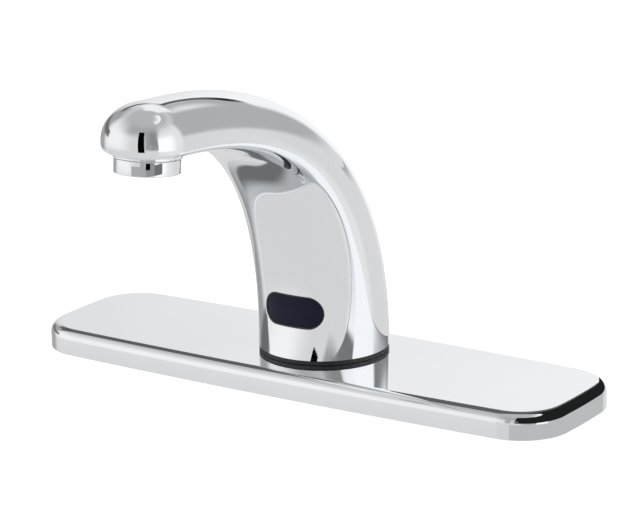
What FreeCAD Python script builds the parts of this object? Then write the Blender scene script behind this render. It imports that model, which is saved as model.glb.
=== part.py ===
import FreeCAD, Part
import math
import os

# Sensor tap on an eight-inch-centre deck plate.  Millimetres.
# The origin is on the tap's upright axis at deck level: X runs along the plate,
# the spout reaches towards -Y and Z is up.  Nothing reaches below the deck.

SIZES = {
    # deck plate, a shallow pressed shell with bowed sides
    "plate_length": 260.0,
    "plate_width": 75.0,
    "plate_height": 10.9,
    "plate_wall": 2.0,
    "side_bow": 2.7,
    "end_bow": 1.8,
    "plate_corner": 22.0,
    "plate_round": 4.2,
    "plate_shift": 4.3,
    "shank_hole_radius": 17.6,
    # moulded support and foam seal under the plate
    "liner_clearance": 0.3,
    "liner_wall": 1.6,
    "rib_thickness": 1.4,
    "rib_pitch": 20.0,
    "seal_thickness": 1.5,
    "seal_width": 9.0,
    "bolt_centres": 203.2,
    "bolt_boss_radius": 6.5,
    "bolt_hole_radius": 3.3,
    # black ring under the spout
    "gasket_thickness": 2.1,
    "gasket_inset": 0.2,
    "gasket_width": 6.0,
    # cast spout: one curved spine carries sections of changing width and depth
    "foot_radius": 28.2,
    "foot_pull": 44.0,
    "bend_reach": 14.6,
    "bend_height": 124.0,
    "arm_pull": 35.0,
    "nose_reach": 121.4,
    "nose_height": 128.0,
    "nose_rise": 4.0,
    "neck_width": 28.5,
    "bend_width": 31.0,
    "nose_width": 18.5,
    "neck_back": 26.9,
    "bend_back": 18.6,
    "nose_crown": 15.5,
    "neck_front": 19.0,
    "bend_under": 6.2,
    "nose_under": 6.2,
    "crown_fullness": 2.05,
    "under_fullness": 3.45,
    "spout_wall": 4.0,
    "cavity_end": 0.78,
    "foot_wall": 3.6,
    "foot_bore_depth": 8.2,
    # outlet
    "outlet_tilt": 5.5,
    "outlet_boss_radius": 13.9,
    "outlet_boss": 0.3,
    "outlet_thread_radius": 11.9,
    "chamber_radius": 9.0,
    "chamber_depth": 8.0,
    "aerator_radius": 13.25,
    "aerator_height": 6.0,
    "aerator_thread": 5.0,
    "aerator_bore": 10.4,
    "aerator_lip": 9.3,
    "lip_thickness": 1.2,
    "thread_clearance": 0.06,
    "cartridge_clearance": 0.1,
    "face_gap": 0.06,
    "skirt_gap": 0.2,
    "washer_thickness": 1.6,
    "washer_bore": 8.6,
    "regulator_thickness": 3.0,
    "insert_wall": 1.4,
    "insert_floor": 1.5,
    "jet_radius": 0.7,
    "dose_radius": 0.8,
    "dose_groove": 1.2,
    "dome_rise": 4.0,
    "dome_rim": 0.6,
    "shell_chamfer": 0.4,
    "screen_thickness": 2.0,
    "mesh_thickness": 0.6,
    "honeycomb_pitch": 2.5,
    "honeycomb_web": 0.5,
    # sensor window and what lies behind it
    "lens_width": 28.2,
    "lens_height": 12.4,
    "lens_level": 33.1,
    "lens_recess": 0.4,
    "lens_seal": 0.7,
    "housing_gap": 0.2,
    "housing_width": 32.0,
    "housing_height": 17.0,
    "housing_back": 12.0,
    "housing_wall": 1.8,
    "board_thickness": 1.6,
    "board_margin": 0.3,
    "eye_spacing": 14.0,
    "eye_radius": 2.5,
    "eye_flange": 0.6,
    "eye_clearance": 0.1,
    "chip_width": 6.0,
    "chip_height": 5.0,
    "chip_thickness": 1.0,
    "bracket_thickness": 1.2,
    "bracket_width": 26.0,
    "screw_radius": 1.5,
    "screw_head": 2.7,
    "screw_head_height": 1.8,
    "flange_screw_spacing": 16.0,
    "flange_screw_depth": 6.0,
    "lead_radius": 1.2,
    "lead_back": 13.4,
    "grommet_radius": 2.3,
    # mounting base, inlet and inner water tube
    "base_height": 8.0,
    "base_clearance": 0.15,
    "shank_radius": 17.2,
    "shank_end": 2.0,
    "stud_spacing": 26.0,
    "stud_hole_radius": 2.5,
    "stud_hole_depth": 12.0,
    "oring_section": 1.1,
    "grub_radius": 2.5,
    "grub_key": 1.3,
    "grub_key_depth": 1.8,
    "grub_set_in": 1.0,
    "grub_below_top": 0.2,
    "grub_angle": 28.0,
    "groove_edge": 0.5,
    "nipple_radius": 8.3,
    "inlet_thread_radius": 5.5,
    "inlet_thread_depth": 12.0,
    "inlet_bore": 4.2,
    "nipple_collar": 9.0,
    "nipple_collar_height": 3.0,
    "nipple_top": 6.0,
    "nipple_step": 1.2,
    "inlet_seal_thickness": 1.0,
    "tube_radius": 4.8,
    "tube_wall": 0.9,
    "nut_flats": 17.0,
    "nut_floor": 1.5,
    "socket_length": 8.0,
    "ring_seat": 4.0,
    "tube_ring": 1.0,
    "tube_clearance": 0.05,
}

doc = FreeCAD.newDocument("sensor_tap")
sheet = doc.addObject("Spreadsheet::Sheet", "sizes")
for row, (alias, value) in enumerate(SIZES.items(), start=1):
    sheet.set("A%d" % row, alias)
    sheet.set("B%d" % row, str(value))
    sheet.setAlias("B%d" % row, alias)
doc.recompute()

Vec = FreeCAD.Vector
UP = Vec(0, 0, 1)
ACROSS = Vec(1, 0, 0)
sub_parts = []


def size(alias):
    """The sheet's value under this alias."""
    return float(sheet.get(alias))


def keep(name, obj):
    """Name a finished object after its sub-part and list it for export."""
    obj.Label = name
    sub_parts.append(obj)
    return obj


def keep_shape(name, shape):
    """Hold a shape made here as a sub-part of the document."""
    feature = doc.addObject("Part::Feature", name)
    feature.Shape = shape.removeSplitter()
    return keep(name, feature)


def cylinder(name, radius, height, base_z="0", x="0", y="0"):
    """A cylinder on an upright axis, bound to the sheet."""
    obj = doc.addObject("Part::Cylinder", name)
    obj.setExpression("Radius", radius)
    obj.setExpression("Height", height)
    obj.setExpression("Placement.Base.x", x)
    obj.setExpression("Placement.Base.y", y)
    obj.setExpression("Placement.Base.z", base_z)
    return obj


def cut(name, base, tool):
    """One object less another."""
    obj = doc.addObject("Part::Cut", name)
    obj.Base = base
    obj.Tool = tool
    return obj


def rod(radius, start, end):
    """A solid cylinder between two points."""
    run = end - start
    return Part.makeCylinder(radius, run.Length, start, run)


def tube(outer, inner, start, end):
    """A hollow cylinder between two points."""
    return rod(outer, start, end).cut(rod(inner, start, end))


def block(x0, x1, y0, y1, z0, z1):
    """A box between two corners."""
    return Part.makeBox(x1 - x0, y1 - y0, z1 - z0, Vec(x0, y0, z0))


# ---------------------------------------------------------------- levels
PLATE_TOP = size("plate_height")
FOOT = PLATE_TOP + size("gasket_thickness")
BASE_TOP = FOOT + size("base_height")
FOOT_BORE = size("foot_radius") - size("foot_wall")
GASKET_BORE = size("foot_radius") - size("gasket_inset") - size("gasket_width")


# ---------------------------------------------------------------- deck plate
def plate_form(inset, bottom, top):
    """The plate's outline, drawn in by an inset, as an upright slab."""
    half_x = size("plate_length") / 2 - inset
    half_y = size("plate_width") / 2 - inset
    centre_y = -size("plate_shift")
    corner_x = half_x - size("end_bow")
    corner_y = half_y - size("side_bow")
    corners = [Vec(sx * corner_x, centre_y + sy * corner_y, bottom)
               for sx, sy in ((-1, -1), (1, -1), (1, 1), (-1, 1))]
    middles = [Vec(0, centre_y - half_y, bottom), Vec(half_x, centre_y, bottom),
               Vec(0, centre_y + half_y, bottom), Vec(-half_x, centre_y, bottom)]
    arcs = [Part.Arc(corners[i], middles[i], corners[(i + 1) % 4]).toShape() for i in range(4)]
    slab = Part.Face(Part.Wire(arcs)).extrude(Vec(0, 0, top - bottom))
    upright = [edge for edge in slab.Edges if abs(edge.BoundBox.ZLength - (top - bottom)) < 0.01]
    return slab.makeFillet(size("plate_corner") - inset, upright)


def round_top(slab, level, radius):
    """Round the upper rim of a slab."""
    rim = [edge for edge in slab.Edges
           if all(abs(vertex.Point.z - level) < 0.01 for vertex in edge.Vertexes)]
    return slab.makeFillet(radius, rim)


def deck_plate():
    wall = size("plate_wall")
    shell = round_top(plate_form(0, 0, PLATE_TOP), PLATE_TOP, size("plate_round"))
    hollow = plate_form(wall, -1, PLATE_TOP - wall)
    hollow = round_top(hollow, PLATE_TOP - wall, size("plate_round") - wall)
    hole = rod(size("shank_hole_radius"), Vec(0, 0, 0), Vec(0, 0, PLATE_TOP + 1))
    return shell.cut(hollow).cut(hole)


def plate_liner():
    """A ribbed moulding that backs the plate all over."""
    inset = size("plate_wall") + size("liner_clearance")
    low = size("seal_thickness")
    high = PLATE_TOP - size("plate_wall")
    wall = size("liner_wall")
    slab = plate_form(inset, low, high)
    slab = round_top(slab, high, size("plate_round") - size("plate_wall"))
    pockets = plate_form(inset + wall, low - 1, high - wall)
    half = size("plate_length") / 2
    rib = size("rib_thickness") / 2
    pitch = size("rib_pitch")
    across = size("plate_width")
    count = int(half // pitch)
    ribs = [block(i * pitch - rib, i * pitch + rib, -across, across, low - 1, high)
            for i in range(-count, count + 1)]
    spine_y = -size("plate_shift")
    ribs.append(block(-half, half, spine_y - rib, spine_y + rib, low - 1, high))
    bolt_x = size("bolt_centres") / 2
    for x in (-bolt_x, bolt_x):
        ribs.append(rod(size("bolt_boss_radius"), Vec(x, 0, low - 1), Vec(x, 0, high)))
    collar = size("shank_hole_radius") + wall
    ribs.append(rod(collar, Vec(0, 0, low - 1), Vec(0, 0, high)))
    body = slab.cut(pockets.cut(ribs))
    holes = [rod(size("shank_hole_radius"), Vec(0, 0, 0), Vec(0, 0, PLATE_TOP))]
    for x in (-bolt_x, bolt_x):
        holes.append(rod(size("bolt_hole_radius"), Vec(x, 0, 0), Vec(x, 0, high - wall)))
    return body.cut(holes)


def plate_seal():
    inset = size("plate_wall") + size("liner_clearance")
    sheet_rubber = plate_form(inset, 0, size("seal_thickness"))
    window = plate_form(inset + size("seal_width"), -1, size("seal_thickness") + 1)
    return sheet_rubber.cut(window)


keep_shape("deck_plate", deck_plate())
keep_shape("plate_liner", plate_liner())
keep_shape("plate_seal", plate_seal())

gasket_ring = cylinder("gasket_ring", "sizes.foot_radius - sizes.gasket_inset",
                       "sizes.gasket_thickness", "sizes.plate_height")
gasket_hole = cylinder("gasket_hole",
                       "sizes.foot_radius - sizes.gasket_inset - sizes.gasket_width",
                       "sizes.gasket_thickness", "sizes.plate_height")
keep("base_gasket", cut("base_gasket", gasket_ring, gasket_hole))


# ---------------------------------------------------------------- spout form
def blend(values, t):
    """A smooth run from the first value to the last, pulled by those between."""
    order = len(values) - 1
    return sum(math.comb(order, i) * t ** i * (1 - t) ** (order - i) * value
               for i, value in enumerate(values))


def spine_poles():
    rise = math.radians(size("nose_rise"))
    end = Vec(0, -size("nose_reach"), size("nose_height"))
    arm = end + Vec(0, math.cos(rise), -math.sin(rise)) * size("arm_pull")
    foot = Vec(0, 0, FOOT)
    return [foot, foot + UP * size("foot_pull"),
            Vec(0, -size("bend_reach"), size("bend_height")), arm, end]


def spine(t):
    """A point of the spine and the direction in which it runs there."""
    poles = spine_poles()
    steps = [(b - a) for a, b in zip(poles, poles[1:])]
    point = Vec(0, blend([p.y for p in poles], t), blend([p.z for p in poles], t))
    along = Vec(0, blend([s.y for s in steps], t), blend([s.z for s in steps], t))
    return point, along.normalize()


def section_sizes(t, inset):
    """Half width, depth on the outer side and depth on the inner side."""
    width = blend([size("foot_radius"), size("neck_width"), size("bend_width"),
                   size("nose_width"), size("nose_width")], t)
    outer = blend([size("foot_radius"), size("neck_back"), size("bend_back"),
                   size("nose_crown"), size("nose_crown")], t)
    inner = blend([size("foot_radius"), size("neck_front"), size("bend_under"),
                   size("nose_under"), size("nose_under")], t)
    return width - inset, outer - inset, inner - inset


def half_section(t, inset, side):
    """One half of the outline at a station: from under, round the side, to the crown."""
    point, along = spine(t)
    outward = ACROSS.cross(along)
    outward = outward if outward.z >= 0 and outward.y >= -0.001 else -outward
    width, outer, inner = section_sizes(t, inset)
    points = []
    for step in range(-6, 7):
        angle = math.radians(15 * step)
        c, s = math.cos(angle), math.sin(angle)
        if step < 0:
            full, depth = 2 + (size("under_fullness") - 2) * t, inner
        else:
            full, depth = 2 + (size("crown_fullness") - 2) * t, outer
        reach = (abs(c) ** full + abs(s) ** full) ** (-1 / full)
        points.append(point + ACROSS * (side * width * c * reach) + outward * (depth * s * reach))
    curve = Part.BSplineCurve()
    curve.interpolate(Points=points, InitialTangent=ACROSS * side, FinalTangent=ACROSS * -side)
    return curve.toShape()


def section(t, inset):
    return Part.Wire([half_section(t, inset, 1), half_section(t, inset, -1)])


def spout_form(inset, end, count):
    """The spout's body up to a station, drawn in by an inset."""
    stations = [end * i / count for i in range(count + 1)]
    return Part.makeLoft([section(t, inset) for t in stations], True, False)


def nose_form():
    """The end section turned through half a circle about its own upright line."""
    point, along = spine(1)
    crown_line = ACROSS.cross(along)
    crown_line = crown_line if crown_line.z > 0 else -crown_line
    half = half_section(1, 0, 1)
    ends = [half.Vertexes[0].Point, half.Vertexes[-1].Point]
    face = Part.Face(Part.Wire([half, Part.makeLine(ends[1], ends[0])]))
    turned = face.revolve(point, crown_line, 180)
    if turned.BoundBox.YMin > point.y - 1:
        turned = face.revolve(point, crown_line, -180)
    return turned


NOSE, NOSE_ALONG = spine(1)
TILT = math.radians(size("outlet_tilt"))
DOWN = Vec(0, -math.sin(TILT), -math.cos(TILT))


def outlet(depth):
    """A point on the outlet's axis, so far below the spine's end."""
    return NOSE + DOWN * depth


BOSS_FACE = size("nose_under") + size("outlet_boss")
SKIRT_TOP = BOSS_FACE + size("skirt_gap")
SHELL_TOP = SKIRT_TOP - size("aerator_thread")
SHELL_END = SKIRT_TOP + size("aerator_height")
WASHER_TOP = SHELL_TOP - size("face_gap") - size("washer_thickness")
SEAT = WASHER_TOP - size("face_gap")
CHAMBER_TOP = SEAT - size("chamber_depth")


def stadium(width, height, level, y0, y1):
    """A full-ended slot shape, extruded along Y."""
    radius = height / 2
    reach = width / 2 - radius
    bar = block(-reach, reach, y0, y1, level - radius, level + radius)
    ends = [rod(radius, Vec(x, y0, level), Vec(x, y1, level)) for x in (-reach, reach)]
    return bar.fuse(ends).removeSplitter()


def lens_slot(extra):
    return stadium(size("lens_width") + 2 * extra, size("lens_height") + 2 * extra,
                   size("lens_level"), -2 * size("foot_radius"), -size("housing_back"))


def cavity_middle(t):
    """The middle of the hollow at a station of the spine."""
    point, along = spine(t)
    outward = ACROSS.cross(along)
    outward = outward if outward.z >= 0 and outward.y >= -0.001 else -outward
    width, outer, inner = section_sizes(t, 0)
    return point + outward * ((outer - inner) / 2)


SOCKET_AIM = (outlet(CHAMBER_TOP) + outlet(SEAT)) * 0.5
SOCKET_MOUTH = cavity_middle(size("cavity_end"))
SOCKET_RUN = (SOCKET_AIM - SOCKET_MOUTH).normalize()


def grub_points(start, end):
    """Where the two grub screws at the back of the foot begin and end."""
    level = BASE_TOP - size("grub_radius") - size("grub_below_top")
    for sign in (-1, 1):
        angle = math.radians(sign * size("grub_angle"))
        ray = Vec(math.sin(angle), math.cos(angle), 0)
        yield ray * start + UP * level, ray * end + UP * level


def spout_body():
    body = spout_form(0, 1, 10).fuse(nose_form())
    boss = rod(size("outlet_boss_radius"), outlet(0), outlet(BOSS_FACE))
    body = body.fuse(boss)
    wall = size("spout_wall")
    hollows = [spout_form(wall, size("cavity_end"), 8),
               rod(FOOT_BORE, Vec(0, 0, FOOT - 1), Vec(0, 0, FOOT + size("foot_bore_depth"))),
               rod(size("outlet_thread_radius"), outlet(SEAT), outlet(BOSS_FACE + 1)),
               rod(size("chamber_radius"), outlet(CHAMBER_TOP), outlet(SEAT)),
               rod(size("tube_radius") + size("tube_clearance"), SOCKET_MOUTH, SOCKET_AIM),
               rod(size("tube_radius") + 2 * size("tube_ring"),
                   SOCKET_MOUTH - SOCKET_RUN * size("socket_length"),
                   SOCKET_MOUTH + SOCKET_RUN * size("ring_seat")),
               lens_slot(size("lens_seal"))]
    for start, end in grub_points(FOOT_BORE - 1, size("foot_radius") + 2):
        hollows.append(rod(size("grub_radius"), start, end))
    for hollow in hollows:
        body = body.cut(hollow)
    return body


keep_shape("spout_body", spout_body())

# ---------------------------------------------------------------- sensor window
front_form = spout_form(size("lens_recess"), 0.4, 4)
back_form = spout_form(size("spout_wall") + size("housing_gap"), 0.4, 4)
window_shell = front_form.cut(back_form)
lens = window_shell.common(lens_slot(0))
keep_shape("sensor_lens", lens)
keep_shape("lens_seal", window_shell.common(lens_slot(size("lens_seal")).cut(lens_slot(0))))

EYES = [-size("eye_spacing") / 2, size("eye_spacing") / 2]
LEVEL = size("lens_level")
HOUSING_BACK = -size("housing_back")
HALF_WIDE = size("housing_width") / 2
HALF_TALL = size("housing_height") / 2
POCKET_FRONT = HOUSING_BACK - size("board_thickness") - size("chip_thickness") - size("board_margin")


def sensor_housing():
    outer = block(-HALF_WIDE, HALF_WIDE, -size("foot_radius"), HOUSING_BACK,
                  LEVEL - HALF_TALL, LEVEL + HALF_TALL)
    body = back_form.common(outer)
    wall = size("housing_wall")
    pocket = block(-HALF_WIDE + wall, HALF_WIDE - wall, POCKET_FRONT, HOUSING_BACK,
                   LEVEL - HALF_TALL + wall, LEVEL + HALF_TALL - wall)
    body = body.cut(pocket)
    for x in EYES:
        body = body.cut(rod(size("eye_radius"), Vec(x, -size("foot_radius"), LEVEL),
                            Vec(x, POCKET_FRONT, LEVEL)))
    lead_y = -size("lead_back")
    return body.cut(rod(size("lead_radius"), Vec(0, lead_y, LEVEL - HALF_TALL),
                        Vec(0, lead_y, LEVEL - HALF_TALL + wall)))


keep_shape("sensor_housing", sensor_housing())

margin = size("housing_wall") + size("board_margin")
BOARD_FRONT = HOUSING_BACK - size("board_thickness")
keep_shape("sensor_board", block(-HALF_WIDE + margin, HALF_WIDE - margin, BOARD_FRONT,
                                 HOUSING_BACK, LEVEL - HALF_TALL + margin,
                                 LEVEL + HALF_TALL - margin))
keep_shape("board_chip", block(-size("chip_width") / 2, size("chip_width") / 2,
                               BOARD_FRONT - size("chip_thickness"), BOARD_FRONT,
                               LEVEL - size("chip_height") / 2, LEVEL + size("chip_height") / 2))


def infrared_eye(x):
    """A lamp or detector: a flanged capsule from the board to the window."""
    radius = size("eye_radius")
    flange = rod(radius + size("eye_flange"), Vec(x, BOARD_FRONT, LEVEL), Vec(x, POCKET_FRONT, LEVEL))
    bore = rod(radius - size("eye_clearance"), Vec(x, -size("foot_radius"), LEVEL), Vec(x, POCKET_FRONT, LEVEL))
    return back_form.common(bore).fuse(flange)


keep_shape("ir_emitter", infrared_eye(EYES[0]))
keep_shape("ir_receiver", infrared_eye(EYES[1]))


def flange_points():
    y = HOUSING_BACK - size("bracket_thickness") - size("screw_head")
    return [Vec(x, y, BASE_TOP) for x in (-size("flange_screw_spacing") / 2,
                                          size("flange_screw_spacing") / 2)]


def sensor_bracket():
    """A bent strip that stands on the base and backs the housing."""
    half = size("bracket_width") / 2
    thick = size("bracket_thickness")
    plate = block(-half, half, HOUSING_BACK, HOUSING_BACK + thick, BASE_TOP,
                  LEVEL + HALF_TALL)
    foot = block(-half, half, HOUSING_BACK - thick - 2 * size("screw_head"),
                 HOUSING_BACK, BASE_TOP, BASE_TOP + thick)
    body = plate.fuse(foot)
    for point in flange_points():
        body = body.cut(rod(size("screw_radius"), point, point + UP * thick))
    lead = Vec(0, -size("lead_back"), BASE_TOP)
    return body.cut(rod(size("grommet_radius"), lead, lead + UP * thick))


keep_shape("sensor_bracket", sensor_bracket())

screws = []
for point in flange_points():
    head = point + UP * size("bracket_thickness")
    shank = rod(size("screw_radius"), point - UP * size("flange_screw_depth"), head)
    cap = rod(size("screw_head"), head, head + UP * size("screw_head_height"))
    screws.append(shank.fuse(cap).removeSplitter())
keep_shape("sensor_screws", Part.Compound(screws))

LEAD = Vec(0, -size("lead_back"), 0)
GROMMET_TOP = BASE_TOP + size("bracket_thickness")
keep_shape("sensor_lead", rod(size("lead_radius"), LEAD + UP * size("shank_end"),
                              LEAD + UP * (LEVEL - HALF_TALL + size("housing_wall"))))
keep_shape("lead_grommet", tube(size("grommet_radius"), size("lead_radius"),
                                LEAD + UP * size("shank_end"), LEAD + UP * GROMMET_TOP))


# ---------------------------------------------------------------- mounting base
RING_LEVEL = FOOT + size("groove_edge") + size("oring_section")


def mounting_base():
    """A turned plug that carries the spout's foot and takes the deck studs."""
    disc = FOOT_BORE - size("base_clearance")
    seat = GASKET_BORE - size("base_clearance")
    body = rod(disc, Vec(0, 0, FOOT), Vec(0, 0, BASE_TOP))
    body = body.fuse(rod(seat, Vec(0, 0, PLATE_TOP), Vec(0, 0, FOOT)))
    body = body.fuse(rod(size("shank_radius"), Vec(0, 0, size("shank_end")), Vec(0, 0, FOOT)))
    section_size = size("oring_section")
    groove = tube(disc + 1, disc + size("base_clearance") - 2 * section_size,
                  Vec(0, 0, RING_LEVEL - section_size), Vec(0, 0, RING_LEVEL + section_size))
    tools = [groove, rod(size("nipple_radius"), Vec(0, 0, 0), Vec(0, 0, BASE_TOP)),
             rod(size("grommet_radius"), LEAD, LEAD + UP * BASE_TOP)]
    for x in (-size("stud_spacing") / 2, size("stud_spacing") / 2):
        tools.append(rod(size("stud_hole_radius"), Vec(x, 0, 0),
                         Vec(x, 0, size("shank_end") + size("stud_hole_depth"))))
    for point in flange_points():
        tools.append(rod(size("screw_radius"), point - UP * size("flange_screw_depth"), point))
    for tool in tools:
        body = body.cut(tool)
    return body


keep_shape("mounting_base", mounting_base())
oring_section = size("oring_section")
oring = Part.makeTorus(FOOT_BORE - oring_section, oring_section,
                       Vec(0, 0, RING_LEVEL), UP)
keep_shape("base_oring", oring)

grubs = []
disc_edge = FOOT_BORE - size("base_clearance")
for start, end in grub_points(disc_edge, size("foot_radius") - size("grub_set_in")):
    hexagon = [Vec(math.cos(math.radians(60 * i)), math.sin(math.radians(60 * i)), 0)
               for i in range(7)]
    turn = FreeCAD.Rotation(UP, (end - start))
    key = Part.Face(Part.makePolygon([end + turn.multVec(p * size("grub_key")) for p in hexagon]))
    socket = key.extrude((start - end).normalize() * size("grub_key_depth"))
    grubs.append(rod(size("grub_radius"), start, end).cut(socket))
keep_shape("base_screws", Part.Compound(grubs))

# ---------------------------------------------------------------- inlet and tube
COLLAR = BASE_TOP + size("inlet_seal_thickness")
NIPPLE_TOP = COLLAR + size("nipple_collar_height") + size("nipple_top")


def inlet_nipple():
    body = rod(size("nipple_radius"), Vec(0, 0, 0), Vec(0, 0, COLLAR))
    body = body.fuse(rod(size("nipple_collar"), Vec(0, 0, COLLAR),
                         Vec(0, 0, COLLAR + size("nipple_collar_height"))))
    body = body.fuse(rod(size("nipple_radius") - size("nipple_step"), Vec(0, 0, COLLAR), Vec(0, 0, NIPPLE_TOP)))
    thread = rod(size("inlet_thread_radius"), Vec(0, 0, 0), Vec(0, 0, size("inlet_thread_depth")))
    return body.cut([thread, rod(size("inlet_bore"), Vec(0, 0, 0), Vec(0, 0, NIPPLE_TOP))])


keep_shape("inlet_nipple", inlet_nipple())
keep_shape("inlet_seal", tube(size("nipple_collar"), size("nipple_radius"),
                              Vec(0, 0, BASE_TOP), Vec(0, 0, COLLAR)))


def tube_nut():
    across = size("nut_flats") / 2 / math.cos(math.radians(30))
    bottom = COLLAR + size("nipple_collar_height")
    top = NIPPLE_TOP + size("nut_floor")
    points = [Vec(across * math.cos(math.radians(60 * i)),
                  across * math.sin(math.radians(60 * i)), bottom) for i in range(7)]
    body = Part.Face(Part.makePolygon(points)).extrude(UP * (top - bottom))
    body = body.cut(rod(size("nipple_radius") - size("nipple_step"), Vec(0, 0, bottom), Vec(0, 0, NIPPLE_TOP)))
    return body.cut(rod(size("tube_radius"), Vec(0, 0, bottom), Vec(0, 0, top)))


keep_shape("tube_nut", tube_nut())


def rounded_path(points):
    """Straight runs joined by tangent arcs."""
    edges = []
    start = points[0]
    for before, corner, after in zip(points, points[1:], points[2:]):
        into, away = (corner - before), (after - corner)
        trim = 0.45 * min(into.Length, away.Length)
        into.normalize()
        away.normalize()
        first, last = corner - into * trim, corner + away * trim
        turn = into.getAngle(away)
        radius = trim / math.tan(turn / 2)
        inwards = (away - into).normalize()
        middle = corner + inwards * (radius / math.cos(turn / 2) - radius)
        edges.append(Part.makeLine(start, first))
        edges.append(Part.Arc(first, middle, last).toShape())
        start = last
    edges.append(Part.makeLine(start, points[-1]))
    return Part.Wire(edges)


def water_tube():
    """Bent copper tube from the inlet, up the neck and along the arm."""
    socket_end = SOCKET_MOUTH + SOCKET_RUN * size("socket_length")
    back_off = SOCKET_MOUTH - SOCKET_RUN * size("socket_length")
    route = [Vec(0, 0, NIPPLE_TOP), cavity_middle(0.2), cavity_middle(0.35),
             cavity_middle(0.5), cavity_middle(0.64), back_off, socket_end]
    route[1].y = 0
    path = rounded_path(route)
    solids = []
    for radius in (size("tube_radius"), size("tube_radius") - size("tube_wall")):
        ring = Part.Wire(Part.makeCircle(radius, route[0], UP))
        solids.append(path.makePipeShell([ring], True, False))
    print("tube length", round(path.Length, 1))
    return solids[0].cut(solids[1])


keep_shape("water_tube", water_tube())
ring_section = size("tube_ring")
ring_centre = SOCKET_MOUTH + SOCKET_RUN * (size("ring_seat") - ring_section)
keep_shape("tube_oring", Part.makeTorus(size("tube_radius") + ring_section, ring_section,
                                        ring_centre, SOCKET_RUN))


# ---------------------------------------------------------------- aerator
def aerator_shell():
    radius = size("aerator_radius")
    skirt = rod(radius, outlet(SKIRT_TOP), outlet(SHELL_END))
    rims = [edge for edge in skirt.Edges if edge.Length > radius * 6]
    skirt = skirt.makeChamfer(size("shell_chamfer"), rims)
    neck = rod(size("outlet_thread_radius") - size("thread_clearance"),
               outlet(SHELL_TOP), outlet(SKIRT_TOP + 1))
    body = skirt.fuse(neck)
    lip = SHELL_END - size("lip_thickness")
    body = body.cut(rod(size("aerator_bore"), outlet(SHELL_TOP - 1), outlet(lip)))
    return body.cut(rod(size("aerator_lip"), outlet(lip - 1), outlet(SHELL_END + 1)))


keep_shape("aerator_shell", aerator_shell())

CARTRIDGE = size("aerator_bore") - size("cartridge_clearance")
MESH_RIM = SHELL_TOP + size("face_gap")
REGULATOR = MESH_RIM + size("mesh_thickness")
SCREEN_END = SHELL_END - size("lip_thickness") - size("face_gap")
SCREEN = SCREEN_END - size("screen_thickness")
INSERT_END = SCREEN
INSERT = REGULATOR + size("regulator_thickness")

keep_shape("aerator_washer", tube(size("outlet_thread_radius") - 2 * size("thread_clearance"),
                                  size("washer_bore"), outlet(WASHER_TOP),
                                  outlet(SHELL_TOP - size("face_gap"))))


def dome_screen():
    """A shallow domed strainer with a flat rim."""
    thick = size("mesh_thickness")
    dome_radius = size("washer_bore") - size("dome_rim")
    rise = size("dome_rise")
    ball = (dome_radius ** 2 + rise ** 2) / (2 * rise)
    centre = outlet(MESH_RIM + ball - rise)
    cap = Part.makeSphere(ball, centre).cut(Part.makeSphere(ball - thick, centre))
    window = rod(dome_radius, outlet(MESH_RIM - rise - 1), outlet(MESH_RIM))
    rim = tube(CARTRIDGE, dome_radius - thick, outlet(MESH_RIM), outlet(REGULATOR))
    return rim.fuse(cap.common(rod(dome_radius, outlet(MESH_RIM - rise - 1), outlet(REGULATOR))))


keep_shape("dome_screen", dome_screen())


def ring_of_points(radius, count, depth):
    """Points round the outlet's axis."""
    sideways = ACROSS
    level_out = DOWN.cross(ACROSS)
    for i in range(count):
        angle = 2 * math.pi * i / count
        yield outlet(depth) + sideways * (radius * math.cos(angle)) + level_out * (radius * math.sin(angle))


def flow_regulator():
    body = rod(CARTRIDGE, outlet(REGULATOR), outlet(INSERT))
    groove = tube(0.78 * CARTRIDGE, 0.5 * CARTRIDGE, outlet(REGULATOR),
                  outlet(REGULATOR + size("dose_groove")))
    body = body.cut(groove)
    for point in ring_of_points(0.64 * CARTRIDGE, 8, REGULATOR - 1):
        body = body.cut(rod(size("dose_radius"), point,
                            point + DOWN * (size("regulator_thickness") + 2)))
    return body


keep_shape("flow_regulator", flow_regulator())


def aerator_insert():
    """The mixing cup: a jet plate over an open barrel."""
    body = rod(CARTRIDGE, outlet(INSERT), outlet(INSERT_END))
    body = body.cut(rod(CARTRIDGE - size("insert_wall"), outlet(INSERT + size("insert_floor")),
                        outlet(INSERT_END + 1)))
    for point in ring_of_points(0.55 * CARTRIDGE, 12, INSERT - 1):
        body = body.cut(rod(size("jet_radius"), point, point + DOWN * (size("insert_floor") + 2)))
    return body


keep_shape("aerator_insert", aerator_insert())


def outlet_screen():
    """A honeycomb disc, seen from below, that straightens the stream."""
    disc = rod(CARTRIDGE, outlet(SCREEN), outlet(SCREEN_END))
    pitch = size("honeycomb_pitch")
    cell = (pitch - size("honeycomb_web")) / math.sqrt(3)
    limit = size("aerator_lip") - cell
    level_out = DOWN.cross(ACROSS)
    cells = []
    for column in range(-5, 6):
        for row in range(-5, 6):
            x = pitch * (column + row / 2)
            y = pitch * row * math.sqrt(3) / 2
            if math.hypot(x, y) > limit:
                continue
            centre = outlet(SCREEN - 1) + ACROSS * x + level_out * y
            corners = [centre + ACROSS * (cell * math.cos(math.radians(60 * i + 30)))
                       + level_out * (cell * math.sin(math.radians(60 * i + 30)))
                       for i in range(7)]
            cells.append(Part.Face(Part.makePolygon(corners)).extrude(
                DOWN * (size("screen_thickness") + 2)))
    return disc.cut(cells)


keep_shape("outlet_screen", outlet_screen())

# ---------------------------------------------------------------- checks and export
doc.recompute()
for obj in doc.Objects:
    if "Invalid" in obj.State or "Error" in obj.State:
        raise RuntimeError("%s did not build: %s" % (obj.Label, obj.State))
for obj in sub_parts:
    if obj.Shape.isNull() or not obj.Shape.isValid() or obj.Shape.Volume <= 0:
        raise RuntimeError("%s has no sound shape" % obj.Label)

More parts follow.
